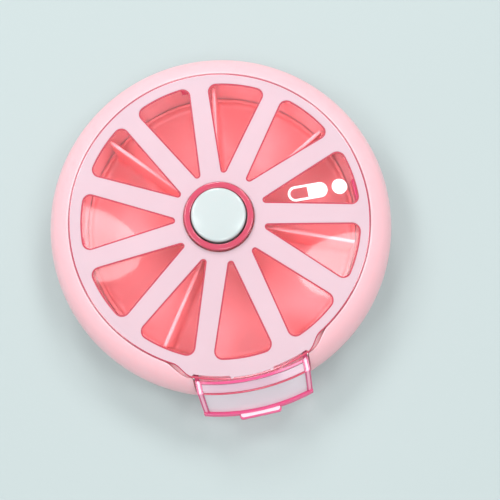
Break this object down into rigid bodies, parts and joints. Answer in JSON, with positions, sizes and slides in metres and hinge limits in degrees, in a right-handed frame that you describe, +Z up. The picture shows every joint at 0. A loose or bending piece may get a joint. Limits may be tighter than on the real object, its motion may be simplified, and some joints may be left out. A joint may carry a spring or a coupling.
{
  "type": "push-button pill organiser",
  "caption": "Round weekly pill organiser with a citrus-slice cover: a push button steps a divided tray past a flip-lid outlet in the rim.",
  "frame": {"origin": "centre of the flat underside", "axes": "+Z up through the push button; -Y towards the outlet and its flip lid; +X to the right seen from the outlet side"},
  "size_m": [0.092, 0.098, 0.027],
  "materials": {
    "body_pink": "satin moulded plastic",
    "clear_pink": "polished clear plastic",
    "print_pale": "matt printed layer",
    "print_white": "matt printed layer",
    "tray_salmon": "satin moulded plastic",
    "button_white": "glossy moulded plastic",
    "mechanism_white": "plain moulded plastic",
    "washer_natural": "waxy sliding plastic",
    "spring_steel": "bright drawn wire and strip",
    "pin_steel": "ground steel"
  },
  "bodies": {
    "casing": {"lower_casing": "body_pink", "upper_casing": "body_pink", "clear_cover": "clear_pink", "citrus_print": "print_pale", "printed_mark": "print_white", "index_spring": "spring_steel", "tray_washer": "washer_natural", "rotor_washer": "washer_natural", "spring_seat": "pin_steel", "return_spring": "spring_steel"},
    "tray": {"pill_tray": "tray_salmon", "ratchet_ring": "mechanism_white"},
    "button": {"button_cap": "button_white", "button_plunger": "mechanism_white", "drive_pins": "pin_steel"},
    "rotor": {"drive_rotor": "mechanism_white", "pawl_ring": "mechanism_white"},
    "lid": {"flip_lid": "clear_pink", "lid_hinge_pins": "pin_steel"}
  },
  "joints": [
    {"name": "button_press", "type": "slide", "parent": "casing", "child": "button", "axis": [0, 0, -1], "range_m": [0, 0.004], "stiffness_N_per_m": 600, "springref_m": -0.002, "deforming": ["return_spring"]},
    {"name": "rotor_turn", "type": "hinge", "parent": "casing", "child": "rotor", "pos_m": [0, 0, 0.003], "axis": [0, 0, 1], "range_deg": [0, 51.43]},
    {"name": "tray_turn", "type": "hinge", "parent": "casing", "child": "tray", "pos_m": [0, 0, 0.0056], "axis": [0, 0, 1], "continuous": true},
    {"name": "lid_flip", "type": "hinge", "parent": "casing", "child": "lid", "pos_m": [0, -0.0386, 0.0191], "axis": [-1, 0, 0], "range_deg": [-35, 2]}
  ],
  "couplings": [
    {"joint": "rotor_turn", "follows": "button_press", "rad_per_m": 224.4}
  ]
}
